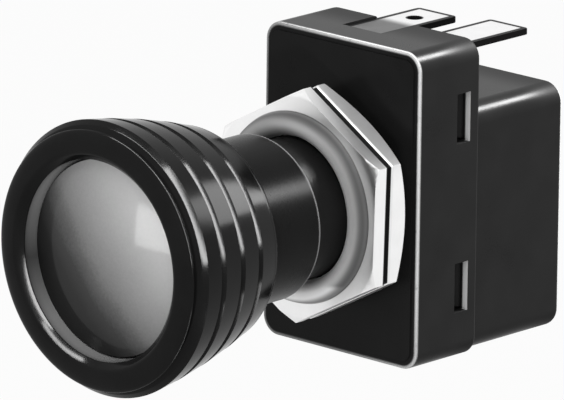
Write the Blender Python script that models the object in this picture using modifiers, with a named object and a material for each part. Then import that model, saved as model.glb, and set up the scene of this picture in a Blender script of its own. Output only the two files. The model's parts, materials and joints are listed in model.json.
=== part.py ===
"""Pull switch for a dashboard, in metres with +Z up and the knob towards -Y.

A black moulded body carries a hollow neck. Two hex nuts on the neck clamp a panel between them,
and the origin is on the neck's axis in the plane where the panel's back seats on the rear nut.
A ribbed knob with a lens and a bulb pulls a stem, and the stem's carriage closes two contacts.
Turned pieces are drawn as (radius, reach) pairs, where reach is the distance in front of the panel.
"""

import math

import bmesh
import bpy
from mathutils import Matrix

MM = 0.001

# Fits between neighbours
SEAT = 0.3 * MM
RUN = 0.2 * MM

# Travel of the knob from pushed in to pulled out
TRAVEL = 5.5 * MM

# Front housing with its neck
BODY_WIDTH = 25.4 * MM
BODY_HEIGHT = 39.6 * MM
BODY_DEPTH = 11.0 * MM
BODY_CORNER = 2.4 * MM
BODY_EDGE = 0.5 * MM
FACE_RIM = 1.0 * MM
FACE_STEP = 0.2 * MM
FRONT_WALL = 2.2 * MM
SIDE_WALL = 1.9 * MM
FLOOR_WALL = 2.0 * MM
ROOF_WALL = 2.4 * MM
NECK_RADIUS = 8.75 * MM
NECK_REACH = 17.0 * MM
NECK_CHAMFER = 0.8 * MM
BOSS_WALL = 1.2 * MM

# Rear housing, its snap catches and the detent tower
REAR_INSET = 1.1 * MM
REAR_TOP = 11.2 * MM
REAR_WALL = 1.8 * MM
REAR_CORNER = 2.5 * MM
REAR_EDGE = 0.8 * MM
REAR_SPACE = 0.6 * MM
INSERT_LENGTH = 4.3 * MM
INSERT_WALL = 1.0 * MM
CATCH_OFFSET = 10.6 * MM
CATCH_HEIGHT = 5.6 * MM
CATCH_LENGTH = 1.8 * MM
CATCH_SHOULDER = 2.0 * MM
CATCH_DEPTH_UNDER_SIDE = 1.0 * MM
TOWER_WALL = 1.1 * MM

# Nuts
NUT_FLATS = 25.5 * MM
NUT_TURN = math.radians(-1.5)
NUT_CHAMFER_SLOPE = math.tan(math.radians(30))
NUT_CHAMFER_INSET = 0.3 * MM
FRONT_CHAMFER_OUTSET = 0.9 * MM
NUT_GAP = 0.4 * MM
REAR_NUT_THICK = 3.2 * MM
NUT_TO_BODY = 2.1 * MM
FRONT_NUT_THICK = 2.1 * MM
COLLAR_RADIUS = 11.8 * MM
COLLAR_HEIGHT = 1.5 * MM
COLLAR_START = 167

# Knob
KNOB_REST = 8.9 * MM
KNOB_LENGTH = 28.7 * MM
SKIRT_WALL = 1.3 * MM
SKIRT_EDGE = 0.3 * MM
OPENING_RADIUS = 12.3 * MM
RING_RADIUS = 15.85 * MM
RING_DEPTH = 0.7 * MM
RING_LIP = 0.9 * MM
RING_LIP_DROP = 0.4 * MM
RIB_COUNT = 4
RIB_PITCH = 4.1 * MM
FLARE_RADIUS = 17.0 * MM
RIB_TAPER = 0.11
RIB_CURVE = 0.0063 / MM
GROOVE_WIDTH = 0.6 * MM
GROOVE_DEPTH = 0.5 * MM
RIB_EDGE = 0.25 * MM
RIB_NOSE_DROP = 0.7 * MM
RIB_NOSE = 1.1 * MM
SHOULDER_LENGTH = 1.6 * MM
KNOB_WALL = 2.6 * MM
WEB_THICK = 2.2 * MM
HUB_WALL = 1.5 * MM
HUB_LENGTH = 7.5 * MM

# Lens in the knob
LENS_RECESS = 1.0 * MM
LENS_SAG = 1.7 * MM
LENS_THICK = 1.5 * MM
LENS_LEDGE = 1.2 * MM

# Bulb, its holder and its centre contact
BULB_LENGTH = 20.0 * MM
BULB_RADIUS = 3.45 * MM
BULB_BASE = 8.0 * MM
BULB_TO_LENS = 0.6 * MM
SOLDER_RADIUS = 1.3 * MM
HOLDER_WALL = 0.85 * MM
HOLDER_LENGTH = 22.8 * MM
HOLDER_GRIP = 3.3 * MM
BAYONET_WIDTH = 1.4 * MM
BAYONET_LENGTH = 6.0 * MM
CONTACT_DISC = 1.9 * MM
CONTACT_DISC_THICK = 0.6 * MM
LAMP_SPRING_LENGTH = 2.2 * MM
INSULATOR_THICK = 0.8 * MM
ROD_RADIUS = 0.7 * MM
ROD_HEAD = 0.6 * MM
ROD_HEAD_THICK = 0.4 * MM

# Stem and its sleeve and clip
SLEEVE_WALL = 0.5 * MM
STEM_WALL = 1.2 * MM
FLANGE_STEP = 1.4 * MM
FLANGE_THICK = 0.7 * MM
CLIP_THICK = 0.6 * MM
CLIP_STEP = 1.2 * MM
CLIP_GROOVE = 0.4 * MM
CLIP_MOUTH = 3.0 * MM
STEM_TAIL = 0.4 * MM

# Carriage
CARRIAGE_DROP = 8.5 * MM
CARRIAGE_COVER = 0.6 * MM
RUNNER_HEIGHT = 3.0 * MM
RUNNER_RISE = 1.0 * MM
ARM_WALL = 1.1 * MM
ARM_HOOK = 0.9 * MM
ARM_LIP = 0.4 * MM
BRIDGE_FLOAT = 0.7 * MM
NOTCH_MARGIN = 1.35 * MM
NOTCH_HALF = 1.0 * MM
NOTCH_DEPTH = 0.6 * MM

# Detent ball
BALL_RADIUS = 2.0 * MM
SPRING_WIRE = 0.5 * MM

# Contacts and contact bridge
BRIDGE_THICK = 0.6 * MM
RIVET_HEAD = 1.7 * MM
RIVET_HEAD_THICK = 0.6 * MM
RIVET_SHANK = 0.7 * MM
RIVET_TAIL = 1.2 * MM
RIVET_TAIL_THICK = 0.4 * MM
CONTACT_INSET = 2.6 * MM
LEG_WIDTH = 4.0 * MM
LEG_WAIST = 4.4 * MM

# Blade terminals
BLADE_WIDTH = 6.3 * MM
BLADE_THICK = 0.8 * MM
BLADE_CHAMFER = 0.5 * MM
BLADE_HOLE = 0.9 * MM
HOLE_FROM_TIP = 4.3 * MM
FEED_OFFSET = -1.0 * MM
FEED_REACH = 7.4 * MM
FEED_BELOW_ROOF = 0.25 * MM
SLOT_SETBACK = 4.7 * MM
LOAD_FROM_SIDE = 5.4 * MM
LOAD_REACH = 11.2 * MM
LOAD_BELOW_ROOF = 0.9 * MM
EARTH_REACH = 8.5 * MM

# Earth slider and lamp link
STRIP_THICK = 0.4 * MM
STRIP_HALF = 1.6 * MM
SLIDER_REACH = 5.0 * MM
LINK_COVER = 1.4 * MM

# Places along the axis behind the panel
BODY_FRONT = REAR_NUT_THICK + NUT_TO_BODY
BODY_BACK = BODY_FRONT + BODY_DEPTH
CAVITY_FRONT = BODY_FRONT + FRONT_WALL
SLOT_FRONT = BODY_FRONT + SLOT_SETBACK
LEG_FRONT = SLOT_FRONT + SEAT
LEG_BACK = LEG_FRONT + BLADE_THICK
FIXED_FACE = LEG_BACK + RUN + RIVET_HEAD_THICK
MOVING_FACE = FIXED_FACE + RUN + TRAVEL
BRIDGE_FRONT = MOVING_FACE + RIVET_HEAD_THICK + RUN
BRIDGE_BACK = BRIDGE_FRONT + BRIDGE_THICK
CARRIAGE_FRONT = BRIDGE_BACK + BRIDGE_FLOAT
SLIDER_FRONT = CARRIAGE_FRONT - SEAT - STRIP_THICK
FLANGE_BACK = SLIDER_FRONT - SEAT
FLANGE_FRONT = FLANGE_BACK - FLANGE_THICK
BOSS_BACK = FLANGE_FRONT - TRAVEL - SEAT
CARRIAGE_BACK = CARRIAGE_FRONT + TRAVEL + 2 * NOTCH_MARGIN
CLIP_FRONT = CARRIAGE_BACK + SEAT
STEM_BACK = CLIP_FRONT + CLIP_THICK + STEM_TAIL
LINK_FRONT = STEM_BACK + SEAT
ROD_HEAD_FRONT = LINK_FRONT + STRIP_THICK + RUN
REAR_CAVITY_BACK = ROD_HEAD_FRONT + ROD_HEAD_THICK + REAR_SPACE
REAR_BACK = REAR_CAVITY_BACK + REAR_WALL
INSERT_FRONT = BODY_BACK - INSERT_LENGTH
INSERT_PLATE = BODY_BACK - REAR_WALL
CATCH_BACK = BODY_BACK - CATCH_SHOULDER
NOTCH_PLACE = CARRIAGE_FRONT + NOTCH_MARGIN

# Radii from the axis outwards
SLEEVE_BORE = ROD_RADIUS + RUN
SLEEVE_RADIUS = SLEEVE_BORE + SLEEVE_WALL
STEM_BORE = SLEEVE_RADIUS + RUN
STEM_RADIUS = STEM_BORE + STEM_WALL
STEM_HOLE = STEM_RADIUS + RUN
BOSS_RADIUS = STEM_HOLE + BOSS_WALL
FLANGE_RADIUS = STEM_RADIUS + FLANGE_STEP
HOLDER_BORE = BULB_RADIUS + RUN
HOLDER_RADIUS = HOLDER_BORE + HOLDER_WALL
HOLDER_HOLE = HOLDER_RADIUS + SEAT
HUB_RADIUS = HOLDER_HOLE + HUB_WALL
SKIRT_BORE = NECK_RADIUS + RUN
SKIRT_RADIUS = SKIRT_BORE + SKIRT_WALL
LENS_SEAT_RADIUS = OPENING_RADIUS - RUN
LENS_RADIUS = LENS_SEAT_RADIUS - RUN

# Places in front of the panel
KNOB_FRONT = KNOB_REST + KNOB_LENGTH
RING_BACK = KNOB_FRONT - RING_DEPTH
FLARE_BACK = RING_BACK - RIB_COUNT * RIB_PITCH
WEB_BACK = NECK_REACH + SEAT
WEB_FRONT = WEB_BACK + WEB_THICK
LENS_APEX = KNOB_FRONT - LENS_RECESS
LENS_RIM_FRONT = LENS_APEX - LENS_SAG
LENS_RIM_BACK = LENS_RIM_FRONT - LENS_THICK
BULB_FRONT = LENS_APEX - LENS_THICK - BULB_TO_LENS
BULB_BACK = BULB_FRONT - BULB_LENGTH
DISC_FRONT = BULB_BACK - RUN
DISC_BACK = DISC_FRONT - CONTACT_DISC_THICK
INSULATOR_FRONT = DISC_BACK - LAMP_SPRING_LENGTH - 2 * RUN
INSULATOR_BACK = INSULATOR_FRONT - INSULATOR_THICK
STEM_FRONT = INSULATOR_BACK - RUN
HOLDER_BACK = STEM_FRONT - HOLDER_GRIP
HOLDER_FRONT = HOLDER_BACK + HOLDER_LENGTH
NECK_STEP = HOLDER_BACK - SEAT

# Widths and heights in the body
BODY_HALF = BODY_WIDTH / 2
ROOF = BODY_HEIGHT / 2
FLOOR = -BODY_HEIGHT / 2
CAVITY_HALF = BODY_HALF - SIDE_WALL
CAVITY_ROOF = ROOF - ROOF_WALL
CAVITY_FLOOR = FLOOR + FLOOR_WALL
REAR_HALF = BODY_HALF - REAR_INSET
REAR_CAVITY_HALF = REAR_HALF - REAR_WALL
REAR_CAVITY_ROOF = REAR_TOP - REAR_WALL
REAR_CAVITY_FLOOR = FLOOR + REAR_WALL
INSERT_HALF = CAVITY_HALF - SEAT
INSERT_ROOF = CAVITY_ROOF - SEAT
INSERT_FLOOR = CAVITY_FLOOR + SEAT
INSERT_BORE = INSERT_HALF - INSERT_WALL
RAIL_OUTER = INSERT_BORE - RUN
RAIL_INNER = RAIL_OUTER - BLADE_THICK
SLIDER_OUTER = RAIL_INNER - RUN - STRIP_THICK / 2
SLIDER_INNER = SLIDER_OUTER - STRIP_THICK
CARRIAGE_HALF = SLIDER_INNER - SEAT
RUNNER_HALF = INSERT_BORE - RUN
CARRIAGE_TOP = REAR_CAVITY_ROOF - SEAT
ARM_HALF = CARRIAGE_HALF + ARM_HOOK
BRIDGE_HALF = ARM_HALF - ARM_WALL - SEAT
BRIDGE_TOP = CARRIAGE_TOP - CARRIAGE_COVER
BRIDGE_BOTTOM = FLANGE_RADIUS + SEAT
CONTACT_HEIGHT = (BRIDGE_TOP + BRIDGE_BOTTOM) / 2
CONTACT_PLACE = BRIDGE_HALF - CONTACT_INSET
SPRING_RADIUS = (BRIDGE_TOP - BRIDGE_BOTTOM) / 2 - SEAT - SPRING_WIRE / 2
LOAD_OFFSET = BODY_HALF - LOAD_FROM_SIDE
FEED_TOP = ROOF - FEED_BELOW_ROOF
LOAD_TOP = ROOF - LOAD_BELOW_ROOF
BALL_HEIGHT = -CARRIAGE_DROP - RUN - BALL_RADIUS
TOWER_BORE = BALL_RADIUS + SEAT
TOWER_TOP = BALL_HEIGHT - BALL_RADIUS / 4

# How round the pieces are
FINE_STEPS = 48
STEPS = 32
SMALL_STEPS = 16
COIL_POINTS = 10
COIL_RESOLUTION = 1
CORNER_SEGMENTS = 4
EDGE_SEGMENTS = 2
ARC_POINTS = 6
SHARP_ANGLE = math.radians(38)
FLAT_ANGLE = math.radians(0.5)
MERGE = 1e-6
OVERCUT = 1.0 * MM

# Finishes: colour, roughness, metallic
FINISHES = {
    "black_moulding": ((0.016, 0.016, 0.016), 0.42, 0.0),
    "black_gloss": ((0.010, 0.010, 0.010), 0.16, 0.0),
    "brown_moulding": ((0.10, 0.045, 0.022), 0.5, 0.0),
    "nickel_plate": ((0.74, 0.74, 0.73), 0.24, 1.0),
    "brass": ((0.66, 0.48, 0.20), 0.3, 1.0),
    "tinned_brass": ((0.78, 0.78, 0.76), 0.3, 1.0),
    "contact_silver": ((0.88, 0.87, 0.84), 0.25, 1.0),
    "spring_steel": ((0.42, 0.42, 0.43), 0.28, 1.0),
    "frosted_lens": ((0.50, 0.50, 0.50), 0.45, 0.0),
    "bulb_glass": ((0.80, 0.82, 0.82), 0.08, 0.0),
    "white_insulation": ((0.75, 0.74, 0.70), 0.5, 0.0),
}


def clear_scene():
    for obj in list(bpy.data.objects):
        bpy.data.objects.remove(obj)


def new_collection(name):
    group = bpy.data.collections.new(name)
    bpy.context.scene.collection.children.link(group)
    return group


def make_finish(name):
    colour, roughness, metallic = FINISHES[name]
    finish = bpy.data.materials.new(name)
    finish.use_nodes = True
    shader = finish.node_tree.nodes["Principled BSDF"]
    shader.inputs["Base Color"].default_value = (*colour, 1.0)
    shader.inputs["Roughness"].default_value = roughness
    shader.inputs["Metallic"].default_value = metallic
    finish.diffuse_color = (*colour, 1.0)
    return finish


clear_scene()
PARTS = new_collection("pull_switch")
CUTTERS = new_collection("cutters")
FINISH = {name: make_finish(name) for name in FINISHES}
PULL_AXIS = bpy.data.objects.new("pull_axis", None)
PARTS.objects.link(PULL_AXIS)


# Basic shapes

def place(mesh, name):
    """Puts a mesh in the scene as a helper, until it becomes a piece."""
    obj = bpy.data.objects.new(name, mesh)
    CUTTERS.objects.link(obj)
    obj.hide_render = True
    obj.display_type = "WIRE"
    return obj


def as_piece(obj, name, finish, moving=False):
    """Makes a helper a piece of the switch."""
    CUTTERS.objects.unlink(obj)
    PARTS.objects.link(obj)
    obj.name = name
    obj.hide_render = False
    obj.display_type = "TEXTURED"
    obj.data.materials.clear()
    obj.data.materials.append(FINISH[finish])
    if moving:
        obj.parent = PULL_AXIS
    return obj


def from_bmesh(bm, name):
    mesh = bpy.data.meshes.new(name)
    bm.to_mesh(mesh)
    bm.free()
    mesh.shade_smooth()
    mesh.set_sharp_from_angle(angle=SHARP_ANGLE)
    return place(mesh, name)


def realise(obj):
    """Replaces a curve or a modified object by the mesh that it evaluates to."""
    bpy.context.view_layer.update()
    graph = bpy.context.evaluated_depsgraph_get()
    mesh = bpy.data.meshes.new_from_object(obj.evaluated_get(graph))
    bm = bmesh.new()
    bm.from_mesh(mesh)
    bmesh.ops.remove_doubles(bm, verts=bm.verts, dist=MERGE)
    bmesh.ops.dissolve_limit(bm, angle_limit=FLAT_ANGLE, verts=bm.verts, edges=bm.edges)
    made = from_bmesh(bm, obj.name)
    made.matrix_world = obj.matrix_world
    bpy.data.meshes.remove(mesh)
    bpy.data.objects.remove(obj)
    return made


def bevel_edges(bm, chosen, offset, segments):
    bmesh.ops.bevel(
        bm,
        geom=[edge for edge in bm.edges if chosen(edge)],
        offset=offset,
        segments=segments,
        profile=0.5,
        affect="EDGES",
        clamp_overlap=True,
    )


def block(name, x, y, z, corner=0.0, front_edge=0.0, back_edge=0.0):
    """A box between (low, high) pairs, with rounded edges along Y and rounded rims."""
    bm = bmesh.new()
    bmesh.ops.create_cube(bm, size=1.0)
    size = [pair[1] - pair[0] for pair in (x, y, z)]
    middle = [(pair[1] + pair[0]) / 2 for pair in (x, y, z)]
    bmesh.ops.transform(bm, matrix=Matrix.LocRotScale(middle, None, size), verts=bm.verts)
    if corner:
        def along_y(edge):
            first, last = (vert.co for vert in edge.verts)
            return abs(first.y - last.y) > size[1] / 2
        bevel_edges(bm, along_y, corner, CORNER_SEGMENTS)
    for level, offset in ((y[0], front_edge), (y[1], back_edge)):
        if offset:
            def on_rim(edge, level=level):
                return all(abs(vert.co.y - level) < MERGE for vert in edge.verts)
            bevel_edges(bm, on_rim, offset, EDGE_SEGMENTS)
    return from_bmesh(bm, name)


def turned(name, profile, steps=STEPS, closed=True, turn_about="panel_axis", at=(0, 0, 0)):
    """A shape turned from (radius, reach) pairs, which run from the front down the outside.

    closed joins the last pair to the first; an open profile begins and ends on the axis.
    turn_about is panel_axis, with reach towards -Y, or upright, with reach towards +Z.
    """
    mesh = bpy.data.meshes.new(name)
    count = len(profile)
    edges = [(i, (i + 1) % count) for i in range(count if closed else count - 1)]
    mesh.from_pydata([(radius, 0, reach) for radius, reach in profile], edges, [])
    obj = place(mesh, name)
    screw = obj.modifiers.new("Turn", "SCREW")
    screw.axis = "Z"
    screw.steps = steps
    screw.render_steps = steps
    screw.use_merge_vertices = True
    screw.merge_threshold = MERGE
    if turn_about == "panel_axis":
        obj.rotation_euler = (math.pi / 2, 0, 0)
    obj.location = at
    return realise(obj)


def cylinder(name, radius, reach, steps=STEPS, **where):
    """A plain round bar between two reaches, the further one first."""
    profile = [(0, reach[0]), (radius, reach[0]), (radius, reach[1]), (0, reach[1])]
    return turned(name, profile, steps, closed=False, **where)


# How each plane lies in the scene. The XZ plane faces -Y.
PLANES = {
    "XY": Matrix.Identity(4),
    "XZ": Matrix(((1, 0, 0, 0), (0, 0, -1, 0), (0, 1, 0, 0), (0, 0, 0, 1))),
    "YZ": Matrix(((0, 0, 1, 0), (1, 0, 0, 0), (0, 1, 0, 0), (0, 0, 0, 1))),
}


def circle(centre, radius, count=SMALL_STEPS):
    angles = [2 * math.pi * i / count for i in range(count)]
    return [(centre[0] + radius * math.cos(a), centre[1] + radius * math.sin(a)) for a in angles]


def plate(name, outlines, plane, low, high):
    """A flat piece in a plane, from its outline and the outlines of its holes, between two levels."""
    curve = bpy.data.curves.new(name, "CURVE")
    curve.dimensions = "2D"
    curve.fill_mode = "BOTH"
    curve.extrude = (high - low) / 2
    for outline in outlines:
        spline = curve.splines.new("POLY")
        spline.points.add(len(outline) - 1)
        for point, (u, v) in zip(spline.points, outline):
            point.co = (u, v, 0, 1)
        spline.use_cyclic_u = True
    obj = bpy.data.objects.new(name, curve)
    CUTTERS.objects.link(obj)
    middle = (low + high) / 2
    level = -middle if plane == "XZ" else middle
    obj.matrix_world = PLANES[plane] @ Matrix.Translation((0, 0, level))
    return realise(obj)


def coil(name, centre, radius, wire, length, turns, along):
    """A compression spring that starts at centre and grows along a unit direction."""
    curve = bpy.data.curves.new(name, "CURVE")
    curve.dimensions = "3D"
    curve.bevel_depth = wire / 2
    curve.bevel_resolution = COIL_RESOLUTION
    curve.use_fill_caps = True
    spline = curve.splines.new("POLY")
    count = int(turns * COIL_POINTS) + 1
    spline.points.add(count - 1)
    for i, point in enumerate(spline.points):
        angle = 2 * math.pi * i / COIL_POINTS
        rise = wire / 2 + (length - wire) * i / (count - 1)
        point.co = (radius * math.cos(angle), radius * math.sin(angle), rise, 1)
    obj = bpy.data.objects.new(name, curve)
    CUTTERS.objects.link(obj)
    obj.location = centre
    if along == "back":
        obj.rotation_euler = (-math.pi / 2, 0, 0)
    return realise(obj)


def combine(obj, other, operation):
    step = obj.modifiers.new(f"{operation.title()} {other.name}", "BOOLEAN")
    step.operation = operation
    step.object = other
    return obj


def join(obj, *others):
    for other in others:
        combine(obj, other, "UNION")
    return obj


def cut(obj, *others):
    for other in others:
        combine(obj, other, "DIFFERENCE")
    return obj


def arc(centre, radii, start, end, count=ARC_POINTS):
    """Points on an ellipse's arc between two angles in degrees, both ends included."""
    points = []
    for i in range(count):
        angle = math.radians(start + (end - start) * i / (count - 1))
        points.append((centre[0] + radii[0] * math.cos(angle), centre[1] + radii[1] * math.sin(angle)))
    return points


# Housing

def make_front_housing():
    body = block("front_body", (-BODY_HALF, BODY_HALF), (BODY_FRONT, BODY_BACK), (FLOOR, ROOF),
                 corner=BODY_CORNER, front_edge=BODY_EDGE, back_edge=BODY_EDGE)
    neck = turned("neck", [
        (0, NECK_REACH), (NECK_RADIUS - NECK_CHAMFER, NECK_REACH),
        (NECK_RADIUS, NECK_REACH - NECK_CHAMFER), (NECK_RADIUS, -CAVITY_FRONT + FRONT_WALL / 2),
        (0, -CAVITY_FRONT + FRONT_WALL / 2)], FINE_STEPS, closed=False)
    boss = cylinder("stem_boss", BOSS_RADIUS, (-CAVITY_FRONT + FRONT_WALL / 2, -BOSS_BACK))
    rim_half = BODY_HALF - FACE_RIM
    rim_frame = block("face_rim", (-BODY_WIDTH, BODY_WIDTH),
                      (BODY_FRONT - OVERCUT, BODY_FRONT + FACE_STEP), (-BODY_HEIGHT, BODY_HEIGHT))
    face = block("face_pad", (-rim_half, rim_half), (BODY_FRONT - 2 * OVERCUT, BODY_FRONT + OVERCUT),
                 (FLOOR + FACE_RIM, ROOF - FACE_RIM), corner=BODY_CORNER - FACE_RIM)
    cut(rim_frame, face)
    cavity = block("body_cavity", (-CAVITY_HALF, CAVITY_HALF), (CAVITY_FRONT, BODY_BACK + OVERCUT),
                   (CAVITY_FLOOR, CAVITY_ROOF), corner=FACE_RIM)
    bore = turned("neck_bore", [
        (0, NECK_REACH + OVERCUT), (HOLDER_HOLE, NECK_REACH + OVERCUT), (HOLDER_HOLE, NECK_STEP),
        (STEM_HOLE, NECK_STEP), (STEM_HOLE, -BOSS_BACK - OVERCUT), (0, -BOSS_BACK - OVERCUT)], closed=False)
    feed_half = BLADE_WIDTH / 2 + RUN
    feed_slot = block("feed_slot", (FEED_OFFSET - feed_half, FEED_OFFSET + feed_half),
                      (SLOT_FRONT, BODY_BACK + OVERCUT),
                      (FEED_TOP - BLADE_THICK - SEAT, ROOF + OVERCUT))
    drop_half = BLADE_WIDTH / 2 + RUN / 2
    feed_drop = block("feed_drop", (FEED_OFFSET - drop_half, FEED_OFFSET + drop_half),
                      (SLOT_FRONT + RUN / 2, LEG_BACK + SEAT), (CAVITY_ROOF - OVERCUT, FEED_TOP))
    load_channel = block("load_channel", (CONTACT_PLACE - LEG_WIDTH / 2 - RUN, LOAD_OFFSET + feed_half),
                         (SLOT_FRONT, BODY_BACK + OVERCUT), (CAVITY_ROOF - OVERCUT, LOAD_TOP + SEAT))
    load_wall = block("load_wall", (FEED_OFFSET + feed_half, LOAD_OFFSET - feed_half),
                      (BODY_BACK - REAR_WALL, BODY_BACK + 2 * OVERCUT), (CAVITY_ROOF, ROOF + OVERCUT))
    cut(load_channel, load_wall)
    join(body, neck)
    cut(body, rim_frame, cavity)
    join(body, boss)
    cut(body, bore, feed_slot, feed_drop, load_channel)
    window_half = CATCH_HEIGHT / 2 + SEAT
    for side in (-1, 1):
        for level in (-CATCH_OFFSET, CATCH_OFFSET):
            x = sorted((side * (CAVITY_HALF - OVERCUT), side * (BODY_HALF + OVERCUT)))
            window = block("catch_window", x,
                           (CATCH_BACK - CATCH_LENGTH - SEAT, CATCH_BACK + SEAT),
                           (level - window_half, level + window_half))
            cut(body, window)
    return as_piece(body, "front_housing", "black_moulding")


def make_rear_housing():
    shell = block("rear_shell", (-REAR_HALF, REAR_HALF), (BODY_BACK + SEAT, REAR_BACK),
                  (FLOOR, REAR_TOP), corner=REAR_CORNER, back_edge=REAR_EDGE)
    insert_back = BODY_BACK + SEAT + REAR_WALL
    insert = block("insert", (-INSERT_HALF, INSERT_HALF), (INSERT_FRONT, insert_back - REAR_WALL / 2),
                   (INSERT_FLOOR, INSERT_ROOF))
    step_behind = block("behind_insert", (-BODY_WIDTH, BODY_WIDTH), (BODY_BACK + SEAT, REAR_BACK),
                        (REAR_TOP - REAR_CORNER, BODY_HEIGHT))
    cut(insert, step_behind)
    upper_space = block("upper_space", (-INSERT_BORE, INSERT_BORE), (INSERT_FRONT - OVERCUT, INSERT_PLATE),
                        (REAR_CAVITY_ROOF - OVERCUT, INSERT_ROOF + OVERCUT))
    insert_space = block("insert_space", (-INSERT_BORE, INSERT_BORE),
                         (INSERT_FRONT - OVERCUT, REAR_CAVITY_BACK - OVERCUT),
                         (INSERT_FLOOR + INSERT_WALL, REAR_CAVITY_ROOF - RUN / 2))
    rear_space = block("rear_space", (-REAR_CAVITY_HALF, REAR_CAVITY_HALF),
                       (insert_back, REAR_CAVITY_BACK), (REAR_CAVITY_FLOOR, REAR_CAVITY_ROOF))
    tower = cylinder("detent_tower", TOWER_BORE + TOWER_WALL, (TOWER_TOP, FLOOR + REAR_WALL / 2),
                     SMALL_STEPS, turn_about="upright", at=(0, NOTCH_PLACE, 0))
    tower_bore = cylinder("tower_bore", TOWER_BORE, (TOWER_TOP + OVERCUT, REAR_CAVITY_FLOOR - RUN),
                          SMALL_STEPS, turn_about="upright", at=(0, NOTCH_PLACE, 0))
    earth_slot = block("earth_slot", (-RAIL_OUTER - RUN / 2, -RAIL_INNER + RUN),
                       (REAR_CAVITY_BACK - OVERCUT, REAR_BACK + OVERCUT),
                       (-BLADE_WIDTH / 2 - RUN, BLADE_WIDTH / 2 + RUN))
    join(shell, insert)
    cut(shell, upper_space, insert_space, rear_space)
    join(shell, tower)
    cut(shell, tower_bore, earth_slot)
    catch_tip = BODY_HALF - CATCH_DEPTH_UNDER_SIDE
    for side in (-1, 1):
        for level in (-CATCH_OFFSET, CATCH_OFFSET):
            root = side * (INSERT_HALF - INSERT_WALL / 2)
            outline = [(root, CATCH_BACK - CATCH_LENGTH), (side * INSERT_HALF, CATCH_BACK - CATCH_LENGTH),
                       (side * catch_tip, CATCH_BACK - SEAT), (side * catch_tip, CATCH_BACK),
                       (root, CATCH_BACK)]
            catch = plate("catch", [outline], "XY", level - CATCH_HEIGHT / 2, level + CATCH_HEIGHT / 2)
            join(shell, catch)
    return as_piece(shell, "rear_housing", "black_moulding")


# Nuts

def hexagon(name, low, high):
    bm = bmesh.new()
    across_corners = NUT_FLATS / math.cos(math.pi / 6)
    bmesh.ops.create_cone(bm, cap_ends=True, segments=6, radius1=across_corners / 2,
                          radius2=across_corners / 2, depth=high - low)
    bmesh.ops.rotate(bm, verts=bm.verts, matrix=Matrix.Rotation(NUT_TURN, 3, "Z"))
    obj = from_bmesh(bm, name)
    obj.location = (0, (low + high) / 2, 0)
    obj.rotation_euler = (math.pi / 2, 0, 0)
    return obj


def chamfered(nut, front, back, front_radius=None, back_radius=None):
    """Trims a hexagon's corners by a cone at each end that has a radius."""
    wide = NUT_FLATS / 2 / math.cos(math.pi / 6) + RUN
    profile = [(0, -front)]
    if front_radius:
        profile += [(front_radius, -front), (wide, -front - (wide - front_radius) * NUT_CHAMFER_SLOPE)]
    else:
        profile.append((wide, -front))
    if back_radius:
        profile += [(wide, -back + (wide - back_radius) * NUT_CHAMFER_SLOPE), (back_radius, -back)]
    else:
        profile.append((wide, -back))
    profile.append((0, -back))
    shape = turned(f"{nut.name}_chamfer", profile, FINE_STEPS, closed=False)
    return combine(nut, shape, "INTERSECT")


def make_nuts():
    bore_radius = NECK_RADIUS + RUN
    rear = hexagon("rear_hexagon", 0, REAR_NUT_THICK)
    chamfered(rear, 0, REAR_NUT_THICK, back_radius=NUT_FLATS / 2 - NUT_CHAMFER_INSET)
    cut(rear, cylinder("rear_nut_bore", bore_radius, (OVERCUT, -REAR_NUT_THICK - OVERCUT), FINE_STEPS))
    as_piece(rear, "rear_nut", "nickel_plate")

    face = -NUT_GAP - FRONT_NUT_THICK
    front = hexagon("front_hexagon", face, -NUT_GAP)
    chamfered(front, face, -NUT_GAP, front_radius=NUT_FLATS / 2 + FRONT_CHAMFER_OUTSET)
    collar_height = -face + COLLAR_HEIGHT
    crest = (bore_radius + COLLAR_RADIUS) / 2
    dome = arc((crest, -face), (COLLAR_RADIUS - crest, COLLAR_HEIGHT), COLLAR_START, 0, 2 * ARC_POINTS)
    collar = turned("collar", [(0, dome[0][1]), *dome, (COLLAR_RADIUS, -face - SEAT), (0, -face - SEAT)],
                    FINE_STEPS, closed=False)
    join(front, collar)
    cut(front, cylinder("front_nut_bore", bore_radius, (collar_height + OVERCUT, -OVERCUT), FINE_STEPS))
    as_piece(front, "front_nut", "nickel_plate")


# Knob and lamp

def flare_radius(reach):
    """Radius over the ribs, which falls faster and faster behind the ring."""
    behind = RING_BACK - reach
    return FLARE_RADIUS - behind * RIB_TAPER - behind ** 2 * RIB_CURVE


def knob_outside():
    """From the lip of the opening over the ring, the ribs and the shoulder to the skirt's rim."""
    crest = OPENING_RADIUS + RING_LIP
    points = arc((crest, KNOB_FRONT - RING_LIP_DROP), (RING_LIP, RING_LIP_DROP), 180, 90)
    points += arc((crest, RING_BACK), (RING_RADIUS - crest, RING_DEPTH), 90, 0, 2 * ARC_POINTS)[1:]
    for i in range(RIB_COUNT):
        front = RING_BACK - i * RIB_PITCH
        rib_front = front - GROOVE_WIDTH
        points.append((points[-1][0] - GROOVE_DEPTH, front - GROOVE_WIDTH / 2))
        if i == 0:
            nose = rib_front - RIB_NOSE
            points += arc((flare_radius(nose) - RIB_NOSE_DROP, nose), (RIB_NOSE_DROP, RIB_NOSE), 90, 0)
        else:
            points += [(flare_radius(rib_front) - RIB_EDGE, rib_front),
                       (flare_radius(rib_front), rib_front - RIB_EDGE)]
        points.append((flare_radius(front - RIB_PITCH), front - RIB_PITCH))
    shoulder = flare_radius(FLARE_BACK) - SKIRT_RADIUS
    points += arc((SKIRT_RADIUS, FLARE_BACK), (shoulder, SHOULDER_LENGTH), 0, -90)[1:]
    points += [(SKIRT_RADIUS, KNOB_REST + SKIRT_EDGE), (SKIRT_RADIUS - SKIRT_EDGE, KNOB_REST)]
    return points


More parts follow.
